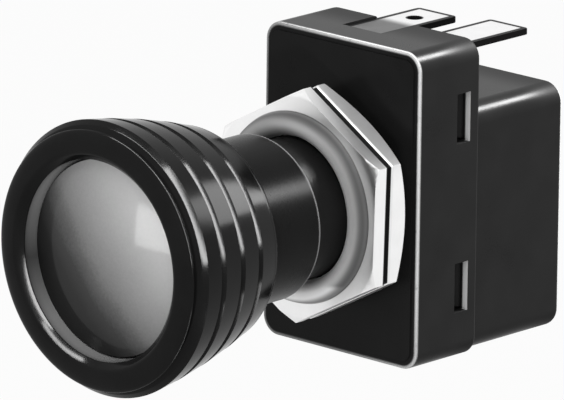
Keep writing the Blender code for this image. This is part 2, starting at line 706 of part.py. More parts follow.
def knob_inside():
    """From the skirt's rim up the bore, round the hub and along the cavity to the lens seat."""
    cavity_back = max(WEB_FRONT, FLARE_BACK + WEB_THICK / 2)
    ledge_back = LENS_RIM_BACK - RUN - LENS_LEDGE
    ledge_radius = LENS_RADIUS - LENS_LEDGE
    hub_front = WEB_FRONT + HUB_LENGTH
    return [
        (SKIRT_BORE, KNOB_REST), (SKIRT_BORE, WEB_BACK), (HOLDER_HOLE, WEB_BACK),
        (HOLDER_HOLE, hub_front), (HUB_RADIUS, hub_front), (HUB_RADIUS, cavity_back),
        (flare_radius(cavity_back) - KNOB_WALL, cavity_back),
        (flare_radius(ledge_back) - KNOB_WALL, ledge_back),
        (ledge_radius, ledge_back), (ledge_radius, LENS_RIM_BACK - RUN),
        (LENS_SEAT_RADIUS, LENS_RIM_BACK - RUN), (LENS_SEAT_RADIUS, LENS_APEX),
    ]


def make_knob_and_lens():
    knob = turned("knob_turned", knob_outside() + knob_inside(), FINE_STEPS)
    as_piece(knob, "knob", "black_gloss", moving=True)
    half_chord = LENS_RADIUS
    dome_radius = (half_chord ** 2 + LENS_SAG ** 2) / (2 * LENS_SAG)
    angle = math.degrees(math.asin(half_chord / dome_radius))
    outer = arc((0, LENS_APEX - dome_radius), (dome_radius, dome_radius), 90, 90 - angle, 2 * ARC_POINTS)
    inner_radius = dome_radius - LENS_THICK
    inner = arc((0, LENS_APEX - dome_radius), (inner_radius, inner_radius), 90 - angle, 90, ARC_POINTS)
    lens = turned("lens_turned", [*outer, (LENS_RADIUS, LENS_RIM_BACK), (inner[0][0], LENS_RIM_BACK), *inner],
                  FINE_STEPS, closed=False)
    as_piece(lens, "lens", "frosted_lens", moving=True)


def make_lamp():
    glass_back = BULB_BACK + BULB_BASE
    tip = arc((0, BULB_FRONT - BULB_RADIUS), (BULB_RADIUS - RUN, BULB_RADIUS), 90, 0)
    bulb = turned("bulb_turned", [
        *tip, (BULB_RADIUS - RUN, glass_back), (BULB_RADIUS, glass_back - RUN),
        (BULB_RADIUS, BULB_BACK + RUN), (SOLDER_RADIUS, BULB_BACK + RUN), (SOLDER_RADIUS, BULB_BACK),
        (0, BULB_BACK)], SMALL_STEPS, closed=False)
    as_piece(bulb, "bulb", "bulb_glass", moving=True)

    stem_socket = STEM_RADIUS + RUN
    holder = turned("holder_turned", [
        (HOLDER_RADIUS, HOLDER_FRONT), (HOLDER_RADIUS, HOLDER_BACK), (stem_socket, HOLDER_BACK),
        (stem_socket, INSULATOR_BACK), (HOLDER_BORE, INSULATOR_BACK), (HOLDER_BORE, HOLDER_FRONT)], STEPS)
    half = BAYONET_WIDTH / 2
    slot = block("bayonet_slot", (-BODY_WIDTH, BODY_WIDTH),
                 (-HOLDER_FRONT - OVERCUT, -HOLDER_FRONT + BAYONET_LENGTH), (-half, half))
    as_piece(cut(holder, slot), "lamp_holder", "brass", moving=True)

    disc = min(CONTACT_DISC, HOLDER_BORE - SEAT)
    rod = turned("rod_turned", [
        (0, DISC_FRONT), (disc, DISC_FRONT), (disc, DISC_BACK), (ROD_RADIUS, DISC_BACK),
        (ROD_RADIUS, -ROD_HEAD_FRONT), (ROD_RADIUS + ROD_HEAD, -ROD_HEAD_FRONT),
        (ROD_RADIUS + ROD_HEAD, -ROD_HEAD_FRONT - ROD_HEAD_THICK),
        (0, -ROD_HEAD_FRONT - ROD_HEAD_THICK)], SMALL_STEPS, closed=False)
    as_piece(rod, "lamp_contact", "brass", moving=True)

    spring_radius = (ROD_RADIUS + disc) / 2
    spring = coil("lamp_coil", (0, -DISC_BACK + RUN, 0), spring_radius, SPRING_WIRE * 0.8,
                  LAMP_SPRING_LENGTH, 3, "back")
    as_piece(spring, "lamp_spring", "spring_steel", moving=True)

    insulator = turned("insulator_turned", [
        (HOLDER_BORE - RUN, INSULATOR_FRONT), (HOLDER_BORE - RUN, INSULATOR_BACK + RUN),
        (SLEEVE_BORE, INSULATOR_BACK + RUN), (SLEEVE_BORE, INSULATOR_FRONT)], SMALL_STEPS)
    as_piece(insulator, "lamp_insulator", "white_insulation", moving=True)


def make_stem():
    groove = STEM_RADIUS - CLIP_GROOVE
    stem = turned("stem_turned", [
        (STEM_RADIUS, STEM_FRONT), (STEM_RADIUS, -FLANGE_FRONT), (FLANGE_RADIUS, -FLANGE_FRONT),
        (FLANGE_RADIUS, -FLANGE_BACK), (STEM_RADIUS, -FLANGE_BACK), (STEM_RADIUS, -CLIP_FRONT + RUN),
        (groove, -CLIP_FRONT + RUN), (groove, -CLIP_FRONT - CLIP_THICK - RUN),
        (STEM_RADIUS, -CLIP_FRONT - CLIP_THICK - RUN), (STEM_RADIUS, -STEM_BACK),
        (STEM_BORE, -STEM_BACK), (STEM_BORE, STEM_FRONT)], STEPS)
    as_piece(stem, "pull_stem", "nickel_plate", moving=True)

    sleeve = turned("sleeve_turned", [
        (SLEEVE_RADIUS, STEM_FRONT), (SLEEVE_RADIUS, -STEM_BACK),
        (SLEEVE_BORE, -STEM_BACK), (SLEEVE_BORE, STEM_FRONT)], SMALL_STEPS)
    as_piece(sleeve, "insulating_sleeve", "white_insulation", moving=True)

    clip_bore = groove + RUN
    clip = turned("clip_turned", [
        (STEM_RADIUS + CLIP_STEP, -CLIP_FRONT), (STEM_RADIUS + CLIP_STEP, -CLIP_FRONT - CLIP_THICK),
        (clip_bore, -CLIP_FRONT - CLIP_THICK), (clip_bore, -CLIP_FRONT)], STEPS)
    mouth = block("clip_mouth", (-CLIP_MOUTH / 2, CLIP_MOUTH / 2), (CLIP_FRONT - OVERCUT, STEM_BACK + OVERCUT),
                  (-2 * STEM_RADIUS, 0))
    as_piece(cut(clip, mouth), "retaining_clip", "spring_steel", moving=True)


# Carriage and contacts

def make_carriage():
    lower = block("carriage_lower", (-CARRIAGE_HALF, CARRIAGE_HALF), (CARRIAGE_FRONT, CARRIAGE_BACK),
                  (-CARRIAGE_DROP, BRIDGE_BOTTOM))
    upper = block("carriage_upper", (-ARM_HALF, ARM_HALF), (CARRIAGE_FRONT, STEM_BACK),
                  (BRIDGE_BOTTOM - SEAT, CARRIAGE_TOP))
    runner_low = -CARRIAGE_DROP + RUNNER_RISE
    runners = block("carriage_runners", (-RUNNER_HALF, RUNNER_HALF),
                    (CARRIAGE_FRONT + RUNNER_RISE, CARRIAGE_BACK), (runner_low, runner_low + RUNNER_HEIGHT))
    join(lower, upper, runners)
    hook_front = BRIDGE_FRONT - SEAT - ARM_LIP
    for side in (-1, 1):
        x = sorted((side * (ARM_HALF - ARM_WALL - ARM_HOOK), side * ARM_HALF))
        arm = block("bridge_arm", x, (hook_front, CARRIAGE_FRONT + ARM_LIP), (BRIDGE_BOTTOM, BRIDGE_TOP))
        join(lower, arm)
    bed = block("bridge_bed", (-BRIDGE_HALF - SEAT, BRIDGE_HALF + SEAT),
                (BRIDGE_FRONT - SEAT, CARRIAGE_FRONT), (BRIDGE_BOTTOM - SEAT, BRIDGE_TOP + SEAT))
    stem_bore = cylinder("carriage_bore", STEM_HOLE, (-CARRIAGE_FRONT + OVERCUT, -STEM_BACK - OVERCUT))
    spring_bore = cylinder("spring_bore", SPRING_RADIUS + SPRING_WIRE / 2 + RUN,
                           (-CARRIAGE_FRONT + OVERCUT, -STEM_BACK - OVERCUT), SMALL_STEPS,
                           at=(0, 0, CONTACT_HEIGHT))
    cut(lower, bed, stem_bore, spring_bore)
    for place_along in (NOTCH_PLACE, NOTCH_PLACE + TRAVEL):
        outline = [(place_along - NOTCH_HALF, -CARRIAGE_DROP - OVERCUT),
                   (place_along + NOTCH_HALF, -CARRIAGE_DROP - OVERCUT),
                   (place_along + NOTCH_HALF, -CARRIAGE_DROP), (place_along, -CARRIAGE_DROP + NOTCH_DEPTH),
                   (place_along - NOTCH_HALF, -CARRIAGE_DROP)]
        cut(lower, plate("detent_notch", [outline], "YZ", -CARRIAGE_HALF / 2, CARRIAGE_HALF / 2))
    as_piece(lower, "carriage", "brown_moulding", moving=True)


def rivet(name, x, face, grip, facing, moving):
    """A contact rivet whose head's face lies at face and whose tail closes behind its grip."""
    head = RIVET_HEAD_THICK
    tail_start = head + grip + 2 * RUN
    end = tail_start + RIVET_TAIL_THICK
    profile = [(0, 0), (RIVET_HEAD - RUN, 0), (RIVET_HEAD, -RUN), (RIVET_HEAD, -head), (RIVET_SHANK, -head),
               (RIVET_SHANK, -tail_start), (RIVET_TAIL, -tail_start), (RIVET_TAIL, -end), (0, -end)]
    if facing == "back":
        profile = [(radius, -reach) for radius, reach in reversed(profile)]
    obj = turned(f"{name}_turned", profile, SMALL_STEPS, closed=False, at=(x, face, CONTACT_HEIGHT))
    return as_piece(obj, name, "contact_silver", moving)


def make_bridge():
    outline = [(-BRIDGE_HALF, BRIDGE_BOTTOM), (BRIDGE_HALF, BRIDGE_BOTTOM),
               (BRIDGE_HALF, BRIDGE_TOP), (-BRIDGE_HALF, BRIDGE_TOP)]
    holes = [circle((side * CONTACT_PLACE, CONTACT_HEIGHT), RIVET_SHANK + RUN) for side in (-1, 1)]
    bridge = plate("bridge_plate", [outline, *holes], "XZ", BRIDGE_FRONT, BRIDGE_BACK)
    as_piece(bridge, "contact_bridge", "brass", moving=True)
    for side, name in ((-1, "bridge_contact_left"), (1, "bridge_contact_right")):
        rivet(name, side * CONTACT_PLACE, MOVING_FACE, BRIDGE_THICK, "front", True)
    start = BRIDGE_BACK + SEAT
    length = LINK_FRONT - SEAT - start
    spring = coil("bridge_coil", (0, start, CONTACT_HEIGHT), SPRING_RADIUS, SPRING_WIRE * 0.8,
                  length, 7, "back")
    as_piece(spring, "bridge_spring", "spring_steel", moving=True)


def make_slider_and_link():
    ring = circle((0, 0), STEM_RADIUS + CLIP_STEP, STEPS)
    washer = plate("slider_washer", [ring, circle((0, 0), STEM_HOLE, STEPS)], "XZ",
                   SLIDER_FRONT, SLIDER_FRONT + STRIP_THICK)
    arm = block("slider_arm", (-SLIDER_OUTER, -STEM_HOLE - RUN), (SLIDER_FRONT, SLIDER_FRONT + STRIP_THICK),
                (-STRIP_HALF, STRIP_HALF))
    strip_back = CARRIAGE_FRONT + SLIDER_REACH + STRIP_HALF
    strip = block("slider_strip", (-SLIDER_OUTER, -SLIDER_INNER), (SLIDER_FRONT, strip_back),
                  (-STRIP_HALF, STRIP_HALF))
    bump_place = (-(SLIDER_OUTER + SLIDER_INNER) / 2, CARRIAGE_FRONT + SLIDER_REACH, 0)
    bump = cylinder("slider_bump", STRIP_THICK, (STRIP_HALF / 2, -STRIP_HALF / 2), SMALL_STEPS,
                    turn_about="upright", at=bump_place)
    join(washer, arm, strip, bump)
    as_piece(washer, "earth_slider", "brass", moving=True)

    outline = [(-STRIP_HALF, -STRIP_HALF), (STRIP_HALF, -STRIP_HALF),
               (STRIP_HALF, CONTACT_HEIGHT + LINK_COVER), (-STRIP_HALF, CONTACT_HEIGHT + LINK_COVER)]
    link = plate("link_plate", [outline, circle((0, 0), SLEEVE_BORE)], "XZ", LINK_FRONT, LINK_FRONT + STRIP_THICK)
    as_piece(link, "lamp_link", "brass", moving=True)


# Terminals

def blade_outline(low, high, start, tip):
    """A blade across low to high that runs from start to tip, with its tip's corners cut off."""
    cut_corner = BLADE_CHAMFER
    return [(low, start), (high, start), (high, tip - cut_corner), (high - cut_corner, tip),
            (low + cut_corner, tip), (low, tip - cut_corner)]


def make_contact_terminal(name, offset, top, tip, contact_place, holed):
    """A blade that lies flat under the roof and turns down into a leg with a riveted contact."""
    half = BLADE_WIDTH / 2
    leg_half = LEG_WIDTH / 2
    outlines = [blade_outline(offset - half, offset + half, LEG_FRONT, tip)]
    if holed:
        outlines.append(circle((offset, tip - HOLE_FROM_TIP), BLADE_HOLE))
    blade = plate(f"{name}_blade", outlines, "XY", top - BLADE_THICK, top)
    waist = CAVITY_ROOF - SEAT
    leg_outline = [
        (contact_place - leg_half, BRIDGE_BOTTOM), (contact_place + leg_half, BRIDGE_BOTTOM),
        (contact_place + leg_half, waist - LEG_WAIST), (offset + half, waist), (offset + half, top),
        (offset - half, top), (offset - half, waist), (contact_place - leg_half, waist - LEG_WAIST)]
    hole = circle((contact_place, CONTACT_HEIGHT), RIVET_SHANK + RUN)
    leg = plate(f"{name}_leg", [leg_outline, hole], "XZ", LEG_FRONT, LEG_BACK)
    as_piece(join(blade, leg), name, "tinned_brass")


def make_terminals():
    make_contact_terminal("feed_terminal", FEED_OFFSET, FEED_TOP, BODY_BACK + FEED_REACH,
                          -CONTACT_PLACE, True)
    make_contact_terminal("load_terminal", LOAD_OFFSET, LOAD_TOP, BODY_BACK + LOAD_REACH,
                          CONTACT_PLACE, False)
    for side, name in ((-1, "feed_contact"), (1, "load_contact")):
        rivet(name, side * CONTACT_PLACE, FIXED_FACE, BLADE_THICK, "back", False)
    rail_front = BODY_BACK + REAR_WALL / 2
    tip = REAR_BACK + EARTH_REACH
    half = BLADE_WIDTH / 2
    outline = [(y, z) for z, y in blade_outline(-half, half, rail_front, tip)]
    hole = circle((tip - HOLE_FROM_TIP, 0), BLADE_HOLE)
    rail = plate("earth_rail", [outline, hole], "YZ", -RAIL_OUTER, -RAIL_INNER)
    as_piece(rail, "earth_terminal", "tinned_brass")


def make_detent():
    bm = bmesh.new()
    bmesh.ops.create_uvsphere(bm, u_segments=SMALL_STEPS, v_segments=SMALL_STEPS // 2, radius=BALL_RADIUS)
    ball = from_bmesh(bm, "ball")
    ball.location = (0, NOTCH_PLACE, BALL_HEIGHT)
    as_piece(ball, "detent_ball", "spring_steel")
    start = REAR_CAVITY_FLOOR + SEAT
    length = BALL_HEIGHT - BALL_RADIUS - SEAT - start
    radius = BALL_RADIUS - SPRING_WIRE
    spring = coil("detent_coil", (0, NOTCH_PLACE, start), radius, SPRING_WIRE, length, 4, "up")
    as_piece(spring, "detent_spring", "spring_steel")


make_front_housing()
make_rear_housing()
make_nuts()
make_knob_and_lens()
make_lamp()
make_stem()
make_carriage()
make_bridge()
make_slider_and_link()
make_terminals()
make_detent()
bpy.context.view_layer.update()
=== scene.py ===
import json
import math

import bmesh
import bpy
from mathutils import Matrix, Vector


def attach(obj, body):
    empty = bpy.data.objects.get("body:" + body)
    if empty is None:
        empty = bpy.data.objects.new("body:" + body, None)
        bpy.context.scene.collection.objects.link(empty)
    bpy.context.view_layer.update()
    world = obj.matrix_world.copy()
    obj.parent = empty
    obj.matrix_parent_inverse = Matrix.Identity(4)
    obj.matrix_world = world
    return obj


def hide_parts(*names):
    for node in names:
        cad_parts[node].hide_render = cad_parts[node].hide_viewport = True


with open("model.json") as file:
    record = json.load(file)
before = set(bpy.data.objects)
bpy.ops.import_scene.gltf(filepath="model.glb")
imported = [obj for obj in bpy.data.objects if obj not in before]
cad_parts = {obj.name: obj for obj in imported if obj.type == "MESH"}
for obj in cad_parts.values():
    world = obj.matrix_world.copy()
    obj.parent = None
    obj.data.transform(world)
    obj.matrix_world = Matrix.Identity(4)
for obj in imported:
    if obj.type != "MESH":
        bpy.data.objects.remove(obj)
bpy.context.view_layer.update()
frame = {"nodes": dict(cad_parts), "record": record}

# Shapes, places and finishes are given in millimetres, and Blender works in metres
MM = 0.001

# How fine the shapes are
TURN_STEPS = 160
SMALL_STEPS = 40
FILLET_STEPS = 6
CORNER_STEPS = 10
EDGE_STEPS = 6
SHARP_ANGLE = math.radians(35)
ROUNDED_ANGLE = math.radians(40)
FLAT_ANGLE = math.radians(0.4)

# Closer than this is the same place, or on the axis, in metres
SAME_PLACE = 1e-6
ON_AXIS = 1e-7

# Knob, lens and nuts
RING_FRONT = 36.9
RIB_PITCH = 4.1
SHOULDER = 20.5
SKIRT_RADIUS = 10.25
LENS_RADIUS = 11.9
ACROSS_FLATS = 25.5
NUT_HOLE = 8.95
COLLAR_RADIUS = 11.8

# Housings
BODY_HALF = 12.7
BODY_TALL = 19.8
BODY_CORNER = 2.4
BODY_FRONT = 5.3
REAR_HALF = 11.6
REAR_CORNER = 2.5
REAR_BACK = 32.9
WINDOW_FRONT = 12.2
WINDOW_BACK = 14.6
WINDOW_LEVELS = (-10.6, 10.6)
CATCH = [(10.0, 12.5), (10.5, 12.5), (11.7, 14.0), (11.7, 14.3), (10.0, 14.3)]

# Blades
BLADE_HALF = 3.15
BLADE_THICK = 0.8
BLADE_HOLE = 0.9
HOLE_FROM_TIP = 4.3
TIP_CORNER = 0.5
FEED_X, FEED_TOP, FEED_TIP = -1.0, 19.55, 23.7
LOAD_X, LOAD_TOP, LOAD_TIP = 7.3, 18.9, 27.5
EARTH_TIP = 41.4
LEG_FRONT, LEG_BACK = 10.3, 11.1


# Materials

class Value:
    """A node's output in an expression. Each operator adds a Math node."""

    def __init__(self, nodes, socket):
        self.nodes = nodes
        self.socket = socket

    def math(self, operation, first, second=0.0):
        return self.nodes.node("ShaderNodeMath", {"operation": operation}, {0: first, 1: second})

    def __add__(self, other):
        return self.math("ADD", self, other)

    def __radd__(self, other):
        return self.math("ADD", other, self)

    def __sub__(self, other):
        return self.math("SUBTRACT", self, other)

    def __rsub__(self, other):
        return self.math("SUBTRACT", other, self)

    def __mul__(self, other):
        return self.math("MULTIPLY", self, other)

    def __rmul__(self, other):
        return self.math("MULTIPLY", other, self)

    def size(self):
        return self.math("ABSOLUTE", self)

    def root(self):
        return self.math("SQRT", self)

    def at_least(self, other):
        return self.math("MAXIMUM", self, other)


class Nodes:
    """A node tree that is filled one node at a time."""

    def __init__(self, tree):
        self.tree = tree
        tree.nodes.clear()

    def put(self, socket, value):
        """Links a value to a socket, or sets the socket to a number or a colour."""
        if isinstance(value, Value):
            self.tree.links.new(value.socket, socket)
        elif isinstance(value, tuple) and socket.type == "RGBA" and len(value) == 3:
            socket.default_value = (*value, 1.0)
        else:
            socket.default_value = value

    def node(self, kind, settings=None, inputs=None, output=0):
        """Adds a node: its settings first, then the values or links of its sockets."""
        made = self.tree.nodes.new(kind)
        for name, value in (settings or {}).items():
            setattr(made, name, value)
        for name, value in (inputs or {}).items():
            self.put(made.inputs[name], value)
        return Value(self, made.outputs[output])

    def seen(self):
        """1 for a ray that shows a surface straight, mirrored or through glass, 0 for other light."""
        rays = self.tree.nodes.new("ShaderNodeLightPath")
        straight, mirrored, through = (Value(self, rays.outputs[f"Is {kind} Ray"])
                                       for kind in ("Camera", "Glossy", "Transmission"))
        return straight.at_least(mirrored).at_least(through)


class Finish(Nodes):
    """A material with one Principled shader."""

    def __init__(self, name):
        self.material = bpy.data.materials.new(name)
        self.material.use_nodes = True
        super().__init__(self.material.node_tree)
        self.shader = self.tree.nodes.new("ShaderNodeBsdfPrincipled")
        self.end = self.tree.nodes.new("ShaderNodeOutputMaterial")
        self.tree.links.new(self.shader.outputs["BSDF"], self.end.inputs["Surface"])

    def set(self, **inputs):
        """Sets the shader's sockets, whose names are given with _ for each space."""
        for name, value in inputs.items():
            self.put(self.shader.inputs[name.replace("_", " ")], value)

    def place(self, scale=None):
        """Places on the piece in metres, stretched by a scale if one is given."""
        where = self.node("ShaderNodeTexCoord", output="Object")
        if scale is None:
            return where
        return self.node("ShaderNodeVectorMath", {"operation": "MULTIPLY"}, {0: where, 1: scale})

    def axes(self):
        """The three coordinates on the piece."""
        split = self.tree.nodes.new("ShaderNodeSeparateXYZ")
        self.put(split.inputs[0], self.place((1 / MM, 1 / MM, 1 / MM)))
        return [Value(self, socket) for socket in split.outputs]

    def step(self, value, start, end):
        """Goes from 0 to 1 as the value goes from start to end."""
        return self.node("ShaderNodeMapRange", {"interpolation_type": "SMOOTHSTEP"},
                         {"Value": value, "From Min": start, "From Max": end})

    def until(self, value, start, end):
        """Goes from 1 to 0 as the value goes from start to end."""
        return 1.0 - self.step(value, start, end)

    def noise(self, size, detail=3.0, roughness=0.55, stretch=None):
        """Noise from 0 to 1 whose grains are about this size."""
        return self.node("ShaderNodeTexNoise", {}, {
            "Vector": self.place(stretch), "Scale": 1.0 / (size * MM), "Detail": detail,
            "Roughness": roughness})

    def ramp(self, value, *stops):
        """A grey that follows the (place, grey) stops as the value goes from 0 to 1."""
        made = self.tree.nodes.new("ShaderNodeValToRGB")
        elements = made.color_ramp.elements
        while len(elements) < len(stops):
            elements.new(1.0)
        for element, (place, level) in zip(elements, stops):
            element.position = place
            element.color = (*grey(level), 1.0)
        self.put(made.inputs["Fac"], value)
        return Value(self, made.outputs[0])

    def between(self, low, high, share):
        """A colour between two, as share goes from 0 to 1."""
        return self.node("ShaderNodeMix", {"data_type": "RGBA"}, {0: share, 6: low, 7: high}, output=2)

    def bump(self, height, strength, distance):
        return self.node("ShaderNodeBump", {}, {
            "Strength": strength, "Distance": distance * MM, "Height": height})


def grey(level):
    return (level, level, level)


def length(first, second):
    """The distance that two steps at right angles cover."""
    return (first * first + second * second).root()


def black_moulding(name, half_width, middle, half_height, corner, rim, dull, windows=False):
    """Black nylon with the grain of its mould, a painted highlight along a rim with round corners, and,
    with windows, a painted highlight on the back wall of each window.

    The rim lies at one y. The surface grows duller between the two places in y that dull gives.
    """
    f = Finish(name)
    x, y, z = f.axes()
    beside = (x.size() - (half_width - corner)).at_least(0.0)
    above = ((z - middle).size() - (half_height - corner)).at_least(0.0)
    inside = corner - length(beside, above)
    grain = f.noise(0.22, detail=4.0)
    cloud = f.noise(6.0, detail=2.0)
    # Painted highlight: the rim is painted light in patches, more strongly towards the right and the top.
    painted_rim_highlight = f.step(f.noise(1.4, detail=3.0), 0.10, 0.42)
    painted_edge_highlight = f.until(inside.at_least((y - rim).size()), 0.20, 0.54) * painted_rim_highlight
    lit_side_share = 0.30 + 0.70 * f.step(x + z * 0.5, -10.0, 16.0)
    plain = f.between(grey(0.0085), grey(0.0140), cloud)
    colour = f.between(plain, grey(0.86), painted_edge_highlight * lit_side_share)
    if windows:
        # Painted highlight: a light strip on the back wall of each window.
        back_wall = f.step(y, WINDOW_BACK - 0.20, WINDOW_BACK - 0.10)
        back_wall = back_wall * f.until(y, WINDOW_BACK + 0.06, WINDOW_BACK + 0.16)
        open_side = f.step(x.size(), 11.75, 12.0) * f.until(x.size(), 12.62, 12.68)
        open_side = open_side * f.until(z.size(), 13.8, 13.9)
        colour = f.between(colour, grey(0.62), back_wall * open_side)
    f.set(Base_Color=colour, Roughness=0.22 + 0.08 * cloud + 0.06 * grain + 0.22 * f.step(y, *dull),
          Normal=f.bump(grain, 0.25, 0.015))
    f.set(Specular_IOR_Level=0.048)
    return f.material


def black_gloss():
    """Polished black knob with faint scuffs, painted light on the wall behind its lip, a painted highlight
    along the skirt's back rim, and a duller skirt.
    """
    f = Finish("black_gloss")
    x, y, z = f.axes()
    reach = 0.0 - y
    behind_lip = f.until(length(x, z), 12.2, 12.3) * f.step(reach, 32.5, 32.7) * f.until(reach, 36.5, 36.7)
    # Painted light: the wall behind the lip is painted grey, its level changing with height.
    painted_wall_light = f.ramp(z * 0.04 + 0.5, (0.15, 0.028), (0.42, 0.009), (0.62, 0.031), (0.85, 0.066))
    cloud = f.noise(5.0, detail=3.0)
    scuffs = f.ramp(f.noise(0.5, detail=2.0, stretch=(1.0, 6.0, 1.0)), (0.58, 0.0), (0.74, 1.0))
    skirt = f.until(reach, 19.0, 21.0)
    # Painted highlight: a thin light line along the skirt's back rim.
    back_rim = f.until((reach - 9.05).size(), 0.30, 0.50) * skirt
    plain = f.between(grey(0.0008), grey(0.0018), cloud)
    painted_rim_highlight = f.between(plain, grey(0.050), back_rim)
    f.set(Base_Color=f.between(painted_rim_highlight, painted_wall_light, behind_lip),
          Roughness=0.11 + 0.05 * cloud + 0.06 * scuffs + 0.14 * skirt,
          Normal=f.bump(f.noise(1.6, detail=2.0), 0.08, 0.02))
    f.set(Specular_IOR_Level=0.055)
    return f.material


def nickel():
    """Satin nickel plate over turned and milled steel, with painted shade between the two nuts and at the
    collar's foot, and painted light and shade on the collar.
    """
    f = Finish("nickel_plate")
    x, y, z = f.axes()
    radius = length(x, z)
    # Painted shade: near black where the two nuts meet.
    painted_gap_shade = f.step(y, -0.66, -0.56) * f.until(y, 0.40, 0.46)
    face = f.until(y, -2.46, -2.30)
    # Painted shade: a dark ring where the collar meets the nut's face.
    foot = f.step(radius, 10.9, 11.7) * f.until(radius, 11.80, 11.95) * face
    beside_foot = f.step(radius, 11.80, 11.95) * f.until(radius, 12.4, 13.6) * face * f.step(x, 4.0, 8.0)
    collar = f.until(radius, 11.6, 11.85) * f.until(y, -2.66, -2.52)
    rear_top = f.step(y, 0.45, 0.60) * f.step(z, 5.0, 8.5)
    cloud = f.noise(3.0, detail=3.0)
    lines = f.noise(0.35, detail=2.0, stretch=(0.15, 1.0, 1.0))
    # Painted light and shade on the collar: light inside and dark outside on its right, darker on its
    # left, white at its bottom.
    collar_painted_light_right = f.between(grey(0.95), grey(0.22), f.step(radius, 9.9, 11.6))
    dome = f.between(grey(0.36), collar_painted_light_right, f.step(x, -6.0, 4.0))
    dome = f.between(dome, grey(0.95), f.step(0.0 - z, 7.9, 8.7))
    plain = f.between(f.between(grey(0.80), grey(0.92), cloud), dome, collar)
    painted_foot_shade = f.between(plain, grey(0.08), foot * 0.85)
    f.set(Base_Color=f.between(painted_foot_shade, grey(0.01), painted_gap_shade),
          Roughness=0.34 + 0.06 * cloud + 0.04 * lines + 0.12 * collar,
          Metallic=1.0 - 0.6 * (collar + beside_foot) - 0.55 * rear_top,
          Normal=f.bump(lines, 0.03, 0.01))
    return f.material


def tinned(name, across, centre, tip, holed=True):
    """Tin-plated strip, rolled lengthways, darker along its edges and round the hole near its tip, with
    painted shade where it lies in its slot.
    """
    f = Finish(name)
    x, y, z = f.axes()
    aside = (x if across == "x" else z) - centre
    # A dark, dull band along the blade's edges, and round its hole if it has one.
    dark_edge_band = f.step((aside.size() - BLADE_HALF).at_least(y - tip), -0.80, -0.64)
    if holed:
        dark_edge_band = dark_edge_band.at_least(f.until(length(aside, y - (tip - HOLE_FROM_TIP)), 1.0, 1.2))
    cloud = f.noise(2.0, detail=3.0)
    rolled = f.noise(0.25, detail=2.0, stretch=(1.0, 0.08, 1.0))
    plain = f.between(grey(0.84), grey(0.97), cloud)
    # Painted shade on the part of the blade that lies inside its slot.
    shaded = f.between(grey(0.09), plain, f.step(y, 15.2, 17.4))
    f.set(Base_Color=f.between(shaded, grey(0.010), dark_edge_band),
          Roughness=0.24 + 0.12 * cloud + 0.06 * rolled, Metallic=1.0 - dark_edge_band,
          Normal=f.bump(rolled, 0.12, 0.01))
    f.set(Specular_IOR_Level=0.03)
    return f.material


def metal(name, dark, light, roughness, grain):
    """A plain metal with rolled or drawn lines."""
    f = Finish(name)
    cloud = f.noise(1.5, detail=3.0)
    lines = f.noise(grain, detail=2.0, stretch=(1.0, 0.2, 1.0))
    f.set(Base_Color=f.between(dark, light, cloud), Roughness=roughness + 0.12 * cloud + 0.06 * lines,
          Normal=f.bump(lines, 0.15, 0.01))
    f.set(Metallic=1.0)
    return f.material


def frosted_lens():
    """Frosted window with painted shade at its lower left and painted light at its upper right, under a
    smooth skin.
    """
    f = Finish("frosted_lens")
    x, _, z = f.axes()
    speckle = f.noise(0.35, detail=4.0, roughness=0.7)
    cloud = f.noise(7.0, detail=2.0)
    # Painted light and shade: dark at the lower left, light towards the upper right.
    across = (x * 0.75 + z * 0.65) * (1 / LENS_RADIUS) + 0.16 * (speckle - 0.5) + 0.12 * (cloud - 0.5)
    painted_lens_light = f.ramp(across * 0.5 + 0.5, (0.05, 0.003), (0.22, 0.008), (0.32, 0.026), (0.42, 0.094),
                  (0.48, 0.165), (0.65, 0.30), (0.85, 0.48), (1.0, 0.62))
    f.set(Base_Color=painted_lens_light, Roughness=0.45 + 0.12 * speckle, Normal=f.bump(speckle, 0.10, 0.02))
    f.set(Coat_Weight=0.2, Coat_Roughness=0.08, Specular_IOR_Level=0.12)
    return f.material


def bulb_glass():
    """Clear lamp glass with the haze of its coating."""
    f = Finish("bulb_glass")
    haze = f.noise(2.0, detail=3.0)
    f.set(Base_Color=f.between((0.72, 0.74, 0.74), (0.90, 0.92, 0.92), haze), Roughness=0.05 + 0.1 * haze,
          Normal=f.bump(haze, 0.08, 0.02))
    f.set(Specular_IOR_Level=0.6)
    return f.material


def moulding(name, dark, light, roughness):
    """A plain moulded insulator."""
    f = Finish(name)
    cloud = f.noise(2.5, detail=3.0)
    grain = f.noise(0.15, detail=3.0)
    f.set(Base_Color=f.between(dark, light, cloud), Roughness=roughness + 0.1 * grain,
          Normal=f.bump(grain, 0.25, 0.01))
    return f.material


